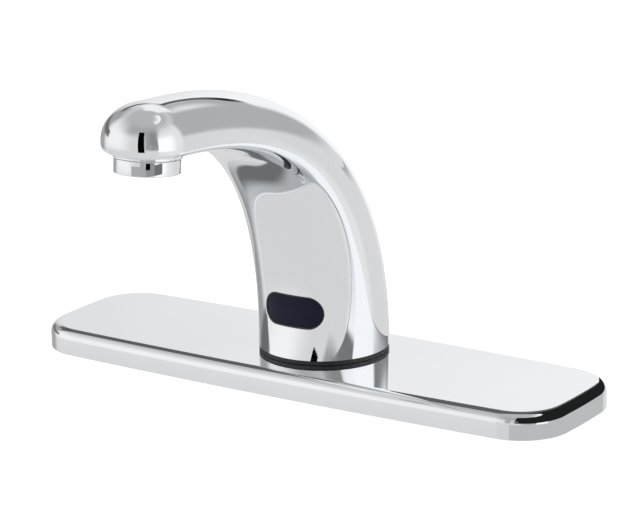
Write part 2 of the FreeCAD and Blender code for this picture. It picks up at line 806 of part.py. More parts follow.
os.makedirs("parts", exist_ok=True)
for obj in sub_parts:
    obj.Shape.exportStep("parts/%s.step" % obj.Label)
    box = obj.Shape.BoundBox
    print("%-16s %9.1f mm3  solids %d  z %.2f to %.2f" %
          (obj.Label, obj.Shape.Volume, len(obj.Shape.Solids), box.ZMin, box.ZMax))
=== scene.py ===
import bmesh
import bpy
import math
import numpy as np
from mathutils import Matrix, Vector


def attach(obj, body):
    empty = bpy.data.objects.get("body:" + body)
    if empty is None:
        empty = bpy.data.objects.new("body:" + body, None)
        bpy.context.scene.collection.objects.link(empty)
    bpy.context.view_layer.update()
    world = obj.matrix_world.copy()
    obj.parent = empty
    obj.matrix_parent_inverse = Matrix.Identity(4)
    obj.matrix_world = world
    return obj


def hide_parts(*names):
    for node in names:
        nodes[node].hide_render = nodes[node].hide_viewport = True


# Sensor tap on a long deck plate.  Metres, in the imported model's frame: the tap's
# upright axis is Z, the spout reaches towards -Y and the deck is at Z = 0.

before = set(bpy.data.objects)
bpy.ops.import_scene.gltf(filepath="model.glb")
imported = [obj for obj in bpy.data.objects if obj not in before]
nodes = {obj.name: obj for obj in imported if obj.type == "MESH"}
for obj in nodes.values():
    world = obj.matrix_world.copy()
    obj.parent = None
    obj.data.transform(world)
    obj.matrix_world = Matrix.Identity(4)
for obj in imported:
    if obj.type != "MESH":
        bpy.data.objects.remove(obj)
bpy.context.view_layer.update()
MM = 0.001


# ------------------------------------------------------------------ support under the plate
# The plate is a thin pressed shell, so a ribbed grey moulding backs it and a strip of
# closed-cell foam under that keeps water off the deck.  Both are seen only from below.

def maths(tree, operation, *given):
    """A Math node's result, from numbers or from what other nodes put out."""
    node = tree.nodes.new("ShaderNodeMath")
    node.operation = operation
    for socket, value in zip(node.inputs, given):
        if isinstance(value, (int, float)):
            socket.default_value = value
        else:
            tree.links.new(value, socket)
    return node.outputs[0]


def surface_life():
    """Shader group: uneven handling and grain, as a roughness, a mask and a normal."""
    group = bpy.data.node_groups.new("surface life", "ShaderNodeTree")
    face = group.interface
    for name, value in (("Patch Scale", 60.0), ("Grain Scale", 900.0), ("Roughness", 0.4),
                        ("Spread", 0.1), ("Relief", 0.1)):
        face.new_socket(name, in_out="INPUT", socket_type="NodeSocketFloat").default_value = value
    face.new_socket("Roughness", in_out="OUTPUT", socket_type="NodeSocketFloat")
    face.new_socket("Patches", in_out="OUTPUT", socket_type="NodeSocketFloat")
    face.new_socket("Normal", in_out="OUTPUT", socket_type="NodeSocketVector")
    make, join = group.nodes.new, group.links.new
    given, result = make("NodeGroupInput"), make("NodeGroupOutput")
    place = make("ShaderNodeTexCoord")
    patches, grain = make("ShaderNodeTexNoise"), make("ShaderNodeTexNoise")
    patches.inputs["Detail"].default_value = 5.0
    grain.inputs["Detail"].default_value = 2.0
    for noise, scale in ((patches, "Patch Scale"), (grain, "Grain Scale")):
        join(place.outputs["Object"], noise.inputs["Vector"])
        join(given.outputs[scale], noise.inputs["Scale"])
    centred = maths(group, "SUBTRACT", patches.outputs["Fac"], 0.5)
    worn = maths(group, "MULTIPLY_ADD", centred, given.outputs["Spread"],
                 given.outputs["Roughness"])
    bump = make("ShaderNodeBump")
    bump.inputs["Distance"].default_value = GRAIN_HEIGHT
    join(given.outputs["Relief"], bump.inputs["Strength"])
    join(grain.outputs["Fac"], bump.inputs["Height"])
    join(worn, result.inputs["Roughness"])
    join(patches.outputs["Fac"], result.inputs["Patches"])
    join(bump.outputs["Normal"], result.inputs["Normal"])
    return group


GRAIN_HEIGHT = 0.05 * MM
TONE_ENDS = (0.35, 0.65)
SURFACE_LIFE = surface_life()


def finish(name, low, high, roughness, spread=0.1, relief=0.1, patch_scale=60.0,
           grain_scale=900.0, metallic=0.0):
    """A material whose colour drifts between two tones and whose gloss is uneven."""
    material = bpy.data.materials.new(name)
    material.use_nodes = True
    make, join = material.node_tree.nodes.new, material.node_tree.links.new
    shader = material.node_tree.nodes["Principled BSDF"]
    shader.inputs["Metallic"].default_value = metallic
    life = make("ShaderNodeGroup")
    life.node_tree = SURFACE_LIFE
    for socket, value in (("Patch Scale", patch_scale), ("Grain Scale", grain_scale),
                          ("Roughness", roughness), ("Spread", spread), ("Relief", relief)):
        life.inputs[socket].default_value = value
    tones = make("ShaderNodeValToRGB")
    for element, end, tone in zip(tones.color_ramp.elements, TONE_ENDS, (low, high)):
        element.position, element.color = end, (*tone, 1)
    join(life.outputs["Patches"], tones.inputs["Fac"])
    join(tones.outputs["Color"], shader.inputs["Base Color"])
    join(life.outputs["Roughness"], shader.inputs["Roughness"])
    join(life.outputs["Normal"], shader.inputs["Normal"])
    return material


def dress(material, *names):
    """Give CAD nodes their finish."""
    for name in names:
        mesh = nodes[name].data
        mesh.materials.clear()
        mesh.materials.append(material)


dress(finish("grey moulding", (0.20, 0.205, 0.21), (0.26, 0.265, 0.27), 0.55, relief=0.3),
      "plate_liner", "sensor_housing")
dress(finish("closed-cell foam", (0.02, 0.02, 0.021), (0.045, 0.045, 0.047), 0.95, spread=0.05,
             relief=1.0, patch_scale=700.0, grain_scale=1800.0), "plate_seal")

# ------------------------------------------------------------------ deck plate
# Stainless sheet pressed into a shallow tray, its four sides slightly bowed and its rim
# rolled over in a soft round, then polished and chromed.  The tap stands in its one hole.

PLATE_LENGTH, PLATE_WIDTH, PLATE_TOP = 260 * MM, 75 * MM, 10.9 * MM
PLATE_MIDDLE = -4.3 * MM
SIDE_BOW, END_BOW, PLATE_CORNER = 2.7 * MM, 1.8 * MM, 22 * MM
PLATE_ROUND, PLATE_WALL = 4.2 * MM, 2.0 * MM
SHANK_HOLE = 17.6 * MM
BURR, RIM_BAND = 0.25 * MM, 1 * MM
ROUND_STEPS, TOP_RINGS = 14, 6
SHARP = math.radians(40)


def bow_centre(half_chord, reach, bow):
    """How far behind the middle of a bowed side its arc's centre lies, and the radius."""
    radius = (half_chord ** 2 + bow ** 2) / (2 * bow)
    return reach - radius, radius


def plate_outline():
    """Arc centre, radius and direction for each point round the plate, counter-clockwise."""
    corner = np.array([PLATE_LENGTH / 2 - END_BOW, PLATE_WIDTH / 2 - SIDE_BOW])
    side_y, side_r = bow_centre(corner[0], PLATE_WIDTH / 2, SIDE_BOW)
    end_x, end_r = bow_centre(corner[1], PLATE_LENGTH / 2, END_BOW)
    side, end = np.array([0, side_y]), np.array([end_x, 0])
    near, far = side_r - PLATE_CORNER, end_r - PLATE_CORNER
    span = end - side
    gap = np.linalg.norm(span)
    along = (near ** 2 - far ** 2 + gap ** 2) / (2 * gap)
    off = math.sqrt(near ** 2 - along ** 2)
    unit = span / gap
    round_centre = side + unit * along + np.array([-unit[1], unit[0]]) * off
    if round_centre[1] < 0:
        round_centre = side + unit * along - np.array([-unit[1], unit[0]]) * off
    to_side = math.atan2(*(round_centre - side)[::-1])
    to_end = math.atan2(*(round_centre - end)[::-1])
    quarter = [(end, end_r, a) for a in np.linspace(0, to_end, 9)[:-1]]
    quarter += [(round_centre, PLATE_CORNER, a) for a in np.linspace(to_end, to_side, 25)[:-1]]
    quarter += [(side, side_r, a) for a in np.linspace(to_side, math.pi / 2, 33)]
    first = [(c[0], c[1], r, math.cos(a), math.sin(a)) for c, r, a in quarter]
    second = [(-x, y, r, -u, v) for x, y, r, u, v in first[-2::-1]]
    back = first + second
    front = [(x, -y, r, u, -v) for x, y, r, u, v in back[-2:0:-1]]
    return np.array(back + front)


def placed(name, data):
    """A new object in the scene."""
    made = bpy.data.objects.new(name, data)
    bpy.context.scene.collection.objects.link(made)
    return made


def smooth_piece(name, mesh, material):
    """A mesh as a piece of one material, smooth but for its sharp edges."""
    mesh.materials.append(material)
    mesh.shade_smooth()
    mesh.set_sharp_from_angle(angle=SHARP)
    return placed(name, mesh)


def stacked(name, rings, material):
    """A closed skin over rings of points, each ring a closed loop of the same count."""
    rings = np.asarray(rings)
    count, around = rings.shape[:2]
    i, j = np.meshgrid(np.arange(count), np.arange(around), indexing="ij")
    up, on = (i + 1) % count, (j + 1) % around
    quads = np.stack([i * around + j, i * around + on, up * around + on, up * around + j], -1)
    quads = quads.reshape(-1, 4)
    mesh = bpy.data.meshes.new(name)
    mesh.from_pydata(rings.reshape(-1, 3).tolist(), [], quads.tolist())
    return smooth_piece(name, mesh, material)


def plate_rings():
    """The plate's section as rings: rim, top, hole, underside and back to the rim."""
    outline = plate_outline()
    centre, radius, facing = outline[:, :2], outline[:, 2:3], outline[:, 3:5]

    def ring(inset, height):
        flat = centre + (radius - inset) * facing + [0, PLATE_MIDDLE]
        return np.column_stack([flat, np.full(len(flat), height)])

    def hole(height):
        flat = ring(PLATE_ROUND, 0)[:, :2]
        flat = flat / np.linalg.norm(flat, axis=1)[:, None] * SHANK_HOLE
        return np.column_stack([flat, np.full(len(flat), height)])

    turns = [math.radians(90 * k / ROUND_STEPS) for k in range(ROUND_STEPS + 1)]
    rings = [ring(BURR, 0), ring(0, BURR)]
    rings += [ring(PLATE_ROUND * (1 - math.cos(a)), PLATE_TOP - PLATE_ROUND * (1 - math.sin(a)))
              for a in turns]
    rings.append(ring(PLATE_ROUND + RIM_BAND, PLATE_TOP))
    flat_edge, hole_edge = rings[-1], hole(PLATE_TOP)
    rings += [flat_edge + (hole_edge - flat_edge) * k / TOP_RINGS
              for k in range(1, TOP_RINGS + 1)]
    under = PLATE_TOP - PLATE_WALL
    rings.append(hole(under))
    rings.append(ring(PLATE_ROUND + RIM_BAND, under))
    inner = PLATE_ROUND - PLATE_WALL
    rings += [ring(PLATE_ROUND - inner * math.cos(a), under - inner * (1 - math.sin(a)))
              for a in turns[::-2]]
    rings += [ring(PLATE_WALL, BURR), ring(PLATE_WALL - BURR, 0)]
    return rings


CHROME_TINT = (0.90, 0.915, 0.93)
CHROME_DEEP = (0.87, 0.89, 0.91)
chrome_plate = finish("polished chrome on steel", CHROME_DEEP, CHROME_TINT, 0.03, spread=0.015,
                      relief=0.0, patch_scale=14.0, metallic=1.0)
deck_plate = stacked("deck_plate_sheet", plate_rings(), chrome_plate)
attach(deck_plate, "tap")
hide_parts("deck_plate")

# ------------------------------------------------------------------ ring under the spout
# A black rubber ring, slightly rounded at its edges, squeezed between the spout's foot and
# the plate so that chrome never sits on chrome.

RING_RADIUS, RING_BORE, RING_THICK = 28.0 * MM, 22.0 * MM, 2.1 * MM
RING_ROUND = 0.45 * MM


def turn_to(axis):
    """The turn that takes Z to an axis."""
    return Vector(axis).normalized().to_track_quat("Z", "X").to_matrix()


def turned(name, profile, origin, axis, material, count=160):
    """A closed profile of (radius, distance along the axis), turned on a lathe."""
    tilt = turn_to(axis)
    angles = np.linspace(0, 2 * math.pi, count, endpoint=False)
    rings = []
    for radius, along in profile:
        ring = np.column_stack([radius * np.cos(angles), radius * np.sin(angles),
                                np.full(count, along)])
        rings.append(ring @ np.array(tilt).T + np.array(origin))
    return stacked(name, rings, material)


def rounded_corner(radius, along, size, start, steps=5):
    """A quarter round of the profile about (radius, along), starting at an angle."""
    return [(radius + size * math.cos(math.radians(start + 90 * k / steps)),
             along + size * math.sin(math.radians(start + 90 * k / steps)))
            for k in range(steps + 1)]


black_rubber = finish("black rubber", (0.006, 0.007, 0.008), (0.012, 0.013, 0.015), 0.38,
                      spread=0.15, relief=0.25)
r = RING_ROUND
ring_profile = (rounded_corner(RING_BORE + r, PLATE_TOP + r, r, 180)
                + rounded_corner(RING_RADIUS - r, PLATE_TOP + r, r, 270)
                + rounded_corner(RING_RADIUS - r, PLATE_TOP + RING_THICK - r, r, 0)
                + rounded_corner(RING_BORE + r, PLATE_TOP + RING_THICK - r, r, 90))
base_ring = turned("base_ring", ring_profile, (0, 0, 0), (0, 0, 1), black_rubber)
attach(base_ring, "tap")
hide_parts("base_gasket")

# ------------------------------------------------------------------ mounting base and inlet
# A turned brass plug stands in the plate and carries the spout's foot: it takes the deck
# studs, the O-ring and the two grub screws.  The brass inlet is nutted to a copper tube.

brass = finish("turned brass", (0.55, 0.38, 0.14), (0.68, 0.49, 0.21), 0.28, spread=0.2,
               relief=0.15, metallic=1.0)
dress(brass, "mounting_base", "inlet_nipple", "tube_nut")
dress(finish("drawn copper", (0.62, 0.27, 0.15), (0.76, 0.38, 0.24), 0.3, spread=0.25,
             relief=0.1, metallic=1.0), "water_tube")
dress(finish("zinc-plated steel", (0.52, 0.53, 0.54), (0.64, 0.65, 0.66), 0.32, spread=0.2,
             relief=0.2, metallic=1.0), "base_screws", "sensor_screws", "sensor_bracket")
dress(black_rubber, "base_oring", "tube_oring", "lead_grommet", "lens_seal")
dress(finish("pressed fibre", (0.16, 0.05, 0.03), (0.24, 0.08, 0.05), 0.8, relief=0.5),
      "inlet_seal", "aerator_washer")

# ------------------------------------------------------------------ cast spout
# Brass cast in one sweep from a round foot into a flattened arm, ground smooth and chromed.
# Its sections swell and turn along one curved spine, and the last one turned through half
# a circle makes the nose.  Its sizes are in millimetres.

FOOT_LEVEL = 13.0
SPINE = np.array([(0, FOOT_LEVEL), (0, 57), (-14.6, 124), (-86.49, 125.56), (-121.4, 128)])
HALF_WIDTH = [28.2, 28.5, 31, 18.5, 18.5]
CROWN_DEPTH = [28.2, 26.9, 18.6, 15.5, 15.5]
UNDER_DEPTH = [28.2, 19, 6.2, 6.2, 6.2]
CROWN_FULL, UNDER_FULL = 2.05, 3.45
NECK_RUN, NECK_HALF, NEWTON_STEPS = 176, 28.5, 12
NOSE_END = np.array([0, -121.4, 128.0])
OUTLET_TILT = math.radians(5.5)
DOWN = np.array([0, -math.sin(OUTLET_TILT), -math.cos(OUTLET_TILT)])


def blend(values, t):
    """A smooth run from the first value to the last, pulled by those between."""
    order = len(values) - 1
    t = np.asarray(t, float)
    return sum(math.comb(order, i) * t ** i * (1 - t) ** (order - i) * value
               for i, value in enumerate(values))


def spine_frame(t):
    """Spine point, outward direction and running direction, in the YZ plane."""
    steps = np.diff(SPINE, axis=0)
    along = np.stack([blend(steps[:, 0], t), blend(steps[:, 1], t)], -1)
    along /= np.linalg.norm(along, axis=-1, keepdims=True)
    point = np.stack([blend(SPINE[:, 0], t), blend(SPINE[:, 1], t)], -1)
    outward = np.stack([along[..., 1], -along[..., 0]], -1)
    return point, outward, along


def section_offsets(t, angle, inset):
    """Sideways and outward distance of the skin from the spine."""
    c, s = np.cos(angle), np.sin(angle)
    full = np.where(s < 0, 2 + (UNDER_FULL - 2) * t, 2 + (CROWN_FULL - 2) * t)
    depth = np.where(s < 0, blend(UNDER_DEPTH, t), blend(CROWN_DEPTH, t)) - inset
    reach = (np.abs(c) ** full + np.abs(s) ** full) ** (-1 / full)
    return (blend(HALF_WIDTH, t) - inset) * c * reach, depth * s * reach


def skin(t, angle, inset=0.0):
    """Points of the spout's surface in millimetres."""
    t, angle = np.broadcast_arrays(np.asarray(t, float), np.asarray(angle, float))
    point, outward, _ = spine_frame(t)
    x, out = section_offsets(t, angle, inset)
    yz = point + outward * out[..., None]
    return np.concatenate([x[..., None], yz], -1)


def find_on_skin(x, z, inset):
    """The station and angle at which the front of the neck has this X and Z, found in a
    few Newton steps from a first guess."""
    t = (z - FOOT_LEVEL) / NECK_RUN
    angle = -math.pi / 2 + np.arcsin(np.clip(x / NECK_HALF, -0.95, 0.95))
    step = 1e-5
    for _ in range(NEWTON_STEPS):
        here, ahead, round_ = (skin(t, angle, inset), skin(t + step, angle, inset),
                               skin(t, angle + step, inset))
        a, b = (ahead - here)[..., 0] / step, (round_ - here)[..., 0] / step
        c, d = (ahead - here)[..., 2] / step, (round_ - here)[..., 2] / step
        miss_x, miss_z = x - here[..., 0], z - here[..., 2]
        det = a * d - b * c
        t = t + (miss_x * d - b * miss_z) / det
        angle = angle + (a * miss_z - c * miss_x) / det
    return t, angle


LENS_WIDTH, LENS_HEIGHT, LENS_LEVEL, LENS_SEAL = 28.2, 12.4, 33.1, 0.7
LENS_RECESS, WALL = 0.4, 4.0
STATIONS = np.linspace(0, 1, 151)
PATCH_ROWS, PATCH_DROP, PATCH_SIDES = 21, 11.5, (-136, -44)
PATCH_RINGS, PATCH_CROWDING = 9, 1.3


def on_stadium(direction_x, direction_z, extra):
    """Where a ray from the window's middle meets its full-ended outline, grown by extra."""
    radius = LENS_HEIGHT / 2 + extra
    reach = (LENS_WIDTH - LENS_HEIGHT) / 2
    flat = np.abs(radius / np.where(np.abs(direction_z) < 1e-9, 1e-9, direction_z))
    on_flat = flat * np.abs(direction_x) <= reach
    side = np.abs(direction_x) * reach
    rounded = side + np.sqrt(np.maximum(side ** 2 - reach ** 2 + radius ** 2, 0))
    length = np.where(on_flat, flat, rounded)
    return direction_x * length, direction_z * length


class Skin:
    """Vertices and faces gathered for one piece."""

    def __init__(self):
        self.points, self.faces = [], []

    def add(self, points):
        first = len(self.points)
        points = np.asarray(points).reshape(-1, 3)
        self.points.extend((points * MM).tolist())
        return np.arange(first, first + len(points))

    def add_front(self, x, z, inset, sink=0.0):
        """Points on the neck's front, by where they lie from the window's middle."""
        points = skin(*find_on_skin(x, z + LENS_LEVEL, inset), inset)
        points[:, 1] += sink
        return self.add(points)

    def bridge(self, low, high, flip=False, closed=True):
        """Faces between two rows of points.  A point that repeats makes a triangle."""
        count = len(low)
        for j in range(count - (not closed)):
            k = (j + 1) % count
            face = list(dict.fromkeys(int(v) for v in (low[j], low[k], high[k], high[j])))
            if len(face) > 2:
                self.faces.append(face[::-1] if flip else face)

    def piece(self, name, material, merge=0.004 * MM):
        mesh = bpy.data.meshes.new(name)
        mesh.from_pydata(self.points, [], self.faces)
        work = bmesh.new()
        work.from_mesh(mesh)
        bmesh.ops.remove_doubles(work, verts=work.verts, dist=merge)
        bmesh.ops.recalc_face_normals(work, faces=work.faces)
        work.to_mesh(mesh)
        work.free()
        return smooth_piece(name, mesh, material)


def neck_with_window(body, stations, angles, inset, flip, edge_rings):
    """The skin from the foot on, with a patch round the sensor window made anew, its rings
    going over from the grid's border to the window's outline and on round its edge."""
    grid = np.array([body.add(skin(t, angles, inset)) for t in stations])
    level = skin(stations, -math.pi / 2, inset)[:, 2]
    low = max(int(np.searchsorted(level, LENS_LEVEL - PATCH_DROP)) - 1, 0)
    high = low + PATCH_ROWS
    left, right = (int(np.searchsorted(angles, math.radians(side))) for side in PATCH_SIDES)
    count = len(angles)
    for i in range(len(stations) - 1):
        for j in range(count):
            if low <= i < high and left <= j < right:
                continue
            k = (j + 1) % count
            face = [int(v) for v in (grid[i, j], grid[i, k], grid[i + 1, k], grid[i + 1, j])]
            body.faces.append(face[::-1] if flip else face)
    around = ([(low, j) for j in range(left, right)] + [(i, right) for i in range(low, high)]
              + [(high, j) for j in range(right, left, -1)]
              + [(i, left) for i in range(high, low, -1)])
    rings = [np.array([grid[i, j] for i, j in around])]
    at = np.array([skin(stations[i], angles[j], inset) for i, j in around])
    x0, z0 = at[:, 0], at[:, 2] - LENS_LEVEL
    length = np.hypot(x0, z0)
    way_x, way_z = x0 / length, z0 / length
    x1, z1 = on_stadium(way_x, way_z, edge_rings[0][0])
    for k in range(1, PATCH_RINGS + 1):
        share = 1 - (1 - k / PATCH_RINGS) ** PATCH_CROWDING
        rings.append(body.add_front(x0 + (x1 - x0) * share, z0 + (z1 - z0) * share, inset))
    rings += [body.add_front(*on_stadium(way_x, way_z, extra), inset, sink)
              for extra, sink in edge_rings[1:]]
    for outside, inside in zip(rings, rings[1:]):
        body.bridge(outside, inside, flip)
    return grid, rings[-1]


NOSE_ROWS = 97


def nose(body, end_angles, inset):
    """The end section turned through half a circle about its own upright line."""
    half = np.array([a for a in end_angles if -math.pi / 2 - 1e-9 <= a <= math.pi / 2 + 1e-9])
    x, out = section_offsets(np.ones(len(half)), half, inset)
    point, outward, along = spine_frame(1.0)
    rows = []
    for turn in np.linspace(0, math.pi, NOSE_ROWS):
        forward = (x * math.sin(turn))[:, None] * along + out[:, None] * outward + point
        rows.append(body.add(np.column_stack([x * math.cos(turn), forward])))
    for low, high in zip(rows, rows[1:]):
        body.bridge(low, high, closed=False)


spout = Skin()
ANGLES = np.radians(np.arange(-180, 180, 1.875))
EDGE, QUARTER_ROUND = 0.35, np.radians(np.arange(0, 91, 18))
edge_rings = [(LENS_SEAL + EDGE * (1 - math.sin(a)), EDGE * (1 - math.cos(a)))
              for a in QUARTER_ROUND]
outer_grid, outer_slot = neck_with_window(spout, STATIONS, ANGLES, 0, False, edge_rings)
nose(spout, ANGLES, 0)
BORE_RADIUS, BORE_TOP, CAVITY_START, CAVITY_END = 24.6, 21.2, 21.5, 0.78
inner_stations = STATIONS[(STATIONS <= CAVITY_END)
                          & (skin(STATIONS, 0.0, WALL)[:, 2] > CAVITY_START)]
inner_grid, inner_slot = neck_with_window(spout, inner_stations, ANGLES, WALL, True,
                                          [(LENS_SEAL, 0)])
spout.bridge(outer_slot, inner_slot)


def foot_ring(radius, level):
    """A level ring of points in the spout's foot."""
    return spout.add(np.column_stack([radius * np.cos(ANGLES), radius * np.sin(ANGLES),
                                      np.full(len(ANGLES), level)]))


bore_low, bore_high = foot_ring(BORE_RADIUS, FOOT_LEVEL), foot_ring(BORE_RADIUS, BORE_TOP)
spout.bridge(outer_grid[0], bore_low, True)
spout.bridge(bore_low, bore_high, True)
spout.bridge(bore_high, inner_grid[0], True)
middle = spout.add(skin(CAVITY_END, ANGLES, WALL).mean(axis=0))
spout.bridge(inner_grid[-1], np.repeat(middle, len(ANGLES)), True)

chrome_cast = finish("polished chrome on brass", CHROME_DEEP, CHROME_TINT, 0.035, spread=0.02,
                     relief=0.0, patch_scale=16.0, metallic=1.0)
spout_skin = spout.piece("spout_casting", chrome_cast)
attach(spout_skin, "tap")
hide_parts("spout_body")

# the short round boss under the nose, bored for the aerator
BOSS_RADIUS, BOSS_FACE, THREAD_BORE, SEAT = 13.9, 6.5, 11.9, -0.02
BOSS_EDGE = 0.3
boss_profile = [(THREAD_BORE, SEAT), (THREAD_BORE, BOSS_FACE - BOSS_EDGE),
                (THREAD_BORE + BOSS_EDGE, BOSS_FACE), (BOSS_RADIUS - BOSS_EDGE, BOSS_FACE),
                (BOSS_RADIUS, BOSS_FACE - BOSS_EDGE), (BOSS_RADIUS, SEAT)]
outlet_boss = turned("outlet_boss", [(a * MM, b * MM) for a, b in boss_profile],
                     NOSE_END * MM, DOWN, chrome_cast)
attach(outlet_boss, "tap")


def settle(piece):
    """Takes what a piece's modifiers make of it as its plain mesh."""
    bpy.context.view_layer.update()
    seen = piece.evaluated_get(bpy.context.evaluated_depsgraph_get())
    mesh = bpy.data.meshes.new_from_object(seen)
    piece.modifiers.clear()
    piece.data = mesh


def bore(piece, radius, start, end):
    """Takes a round bore along the outlet's axis out of a piece."""
    mesh = bpy.data.meshes.new("bore")
    form = bmesh.new()
    bmesh.ops.create_cone(form, cap_ends=True, segments=BORE_SIDES, radius1=radius * MM,
                          radius2=radius * MM, depth=(end - start) * MM)
    middle = Vector((NOSE_END + DOWN * (start + end) / 2) * MM)
    form.transform(Matrix.Translation(middle) @ turn_to(DOWN).to_4x4())
    form.to_mesh(mesh)
    form.free()
    cutter = placed("bore", mesh)
    cut = piece.modifiers.new("bore", "BOOLEAN")
    cut.operation, cut.solver, cut.object = "DIFFERENCE", "EXACT", cutter
    settle(piece)
    bpy.data.objects.remove(cutter)


# the casting is open where the boss sits and above it, so that the washer and the domed
# strainer pass when the aerator unscrews
BORE_SIDES, BOSS_BORE_END = 180, 9.0
STRAINER_BORE, STRAINER_BORE_TOP, STRAINER_BORE_FOOT = 10.6, -4.0, 0.3
bore(spout_skin, (THREAD_BORE + BOSS_RADIUS) / 2, SEAT, BOSS_BORE_END)
bore(spout_skin, STRAINER_BORE, STRAINER_BORE_TOP, STRAINER_BORE_FOOT)

# ------------------------------------------------------------------ sensor behind its window
# Low on the front of the neck a dark glossy window, made to let infrared through, lies a
# little below the chrome in a rubber seal.  Behind it are the lamp, the detector and a board.


LENS_SIDES, LENS_RIM, LENS_BACK = 240, 0.5, WALL + 0.2


def window_piece():
    """The window's rounded rim, its face up to the middle, its side and its back."""
    body = Skin()
    turn = np.linspace(0, 2 * math.pi, LENS_SIDES, endpoint=False)

    def ring(extra, sink=0.0, inset=LENS_RECESS, share=1.0):
        x, z = on_stadium(np.cos(turn), np.sin(turn), extra)
        return body.add_front(x * share, z * share, inset, sink)

    def middle(inset):
        return np.repeat(body.add_front(np.zeros(1), np.zeros(1), inset), len(turn))

    face = [ring(-LENS_RIM * (1 - math.cos(a)), LENS_RIM * (1 - math.sin(a)))
            for a in QUARTER_ROUND]
    face += [ring(-LENS_RIM, share=share) for share in (0.8, 0.6, 0.4, 0.2, 0.05)]
    face.append(middle(LENS_RECESS))
    back = ring(0, inset=LENS_BACK)
    rings = [middle(LENS_BACK), back] + face
    for low, high in zip(rings, rings[1:]):
        body.bridge(low, high)
    return body


dark_window = finish("infrared window", (0.005, 0.007, 0.024), (0.007, 0.009, 0.030), 0.09,
                     spread=0.04, relief=0.0)
dark_window.node_tree.nodes["Principled BSDF"].inputs["Specular IOR Level"].default_value = 0.16
lens = window_piece().piece("sensor_window", dark_window)
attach(lens, "tap")
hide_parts("sensor_lens")

dress(finish("solder-masked board", (0.01, 0.07, 0.035), (0.015, 0.10, 0.05), 0.4, relief=0.4),
      "sensor_board")
dress(finish("black plastic", (0.01, 0.01, 0.011), (0.02, 0.02, 0.021), 0.45), "board_chip")
dress(finish("eye epoxy", (0.01, 0.006, 0.02), (0.02, 0.01, 0.035), 0.08, spread=0.03),
      "ir_emitter", "ir_receiver")
dress(finish("lead sheath", (0.012, 0.012, 0.013), (0.02, 0.02, 0.022), 0.5), "sensor_lead")

# ------------------------------------------------------------------ aerator
# A chromed brass shell screws up into the boss and holds a plastic cartridge: strainer,
# flow regulator, mixing cup and a honeycomb that straightens the stream.

SHELL_TOP, SKIRT_TOP, SHELL_END = 1.7, 6.7, 12.7
SHELL_RADIUS, NECK_RADIUS, SHELL_BORE, LIP_BORE, LIP = 13.25, 11.2, 10.4, 9.3, 1.2
CHAMFER = 0.35
THREAD_START, THREAD_TURNS, THREAD_PITCH, THREAD_RIDGE = SHELL_TOP + 0.4, 4.2, 1.0, 0.5
shell_profile = [(SHELL_BORE, SHELL_TOP), (SHELL_BORE, SHELL_END - LIP),
                 (LIP_BORE, SHELL_END - LIP), (LIP_BORE, SHELL_END - CHAMFER),
                 (LIP_BORE + CHAMFER, SHELL_END)]
shell_profile += [(radius, along) for radius, along in
                  rounded_corner(SHELL_RADIUS - CHAMFER, SHELL_END - CHAMFER, CHAMFER, 0)[::-1]]
shell_profile += [(radius, along) for radius, along in
                  rounded_corner(SHELL_RADIUS - CHAMFER, SKIRT_TOP + CHAMFER, CHAMFER, 270)[::-1]]
shell_profile += [(NECK_RADIUS, SKIRT_TOP), (NECK_RADIUS, SHELL_TOP)]
chrome_turned = finish("polished chrome, turned", CHROME_DEEP, CHROME_TINT, 0.03, spread=0.015,
                       relief=0.0, patch_scale=30.0, metallic=1.0)
aerator_shell = turned("aerator_housing", [(a * MM, b * MM) for a, b in shell_profile],
                       NOSE_END * MM, DOWN, chrome_turned)
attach(aerator_shell, "aerator_shell_body")
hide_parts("aerator_shell")


def thread_tree():
    """Geometry nodes: a helix of a set radius, pitch and length, swept with a ridge."""
    tree = bpy.data.node_groups.new("thread ridge", "GeometryNodeTree")
    face = tree.interface
    for name in ("Radius", "Pitch", "Turns", "Ridge"):
        face.new_socket(name, in_out="INPUT", socket_type="NodeSocketFloat")
    face.new_socket("Finish", in_out="INPUT", socket_type="NodeSocketMaterial")
    face.new_socket("Geometry", in_out="OUTPUT", socket_type="NodeSocketGeometry")
    make, join = tree.nodes.new, tree.links.new
    given, result = make("NodeGroupInput"), make("NodeGroupOutput")
    helix = make("GeometryNodeCurveSpiral")
    helix.inputs["Resolution"].default_value = 64
    length = maths(tree, "MULTIPLY", given.outputs["Pitch"], given.outputs["Turns"])
    join(given.outputs["Turns"], helix.inputs["Rotations"])
    join(given.outputs["Radius"], helix.inputs["Start Radius"])
    join(given.outputs["Radius"], helix.inputs["End Radius"])
    join(length, helix.inputs["Height"])
    ridge = make("GeometryNodeCurvePrimitiveCircle")
    ridge.inputs["Resolution"].default_value = 4
    join(given.outputs["Ridge"], ridge.inputs["Radius"])
    sweep = make("GeometryNodeCurveToMesh")
    sweep.inputs["Fill Caps"].default_value = True
    join(helix.outputs["Curve"], sweep.inputs["Curve"])
    join(ridge.outputs["Curve"], sweep.inputs["Profile Curve"])
    real, paint = make("GeometryNodeRealizeInstances"), make("GeometryNodeSetMaterial")
    join(sweep.outputs["Mesh"], real.inputs["Geometry"])
    join(real.outputs["Geometry"], paint.inputs["Geometry"])
    join(given.outputs["Finish"], paint.inputs["Material"])
    join(paint.outputs["Geometry"], result.inputs["Geometry"])
    return tree


THREAD = thread_tree()


def threaded(name, origin, axis, radius, pitch, turns, ridge, material):
    """A plain mesh of a thread's ridge, moved to its place."""
    carrier = placed(name, bpy.data.meshes.new(name))
    modifier = carrier.modifiers.new("thread", "NODES")
    modifier.node_group = THREAD
    wanted = {"Radius": radius, "Pitch": pitch, "Turns": turns, "Ridge": ridge, "Finish": material}
    for item in THREAD.interface.items_tree:
        if item.item_type == "SOCKET" and item.in_out == "INPUT":
            modifier[item.identifier] = wanted[item.name]
    settle(carrier)
    carrier.data.transform(Matrix.Translation(Vector(origin)) @ turn_to(axis).to_4x4())
    return carrier


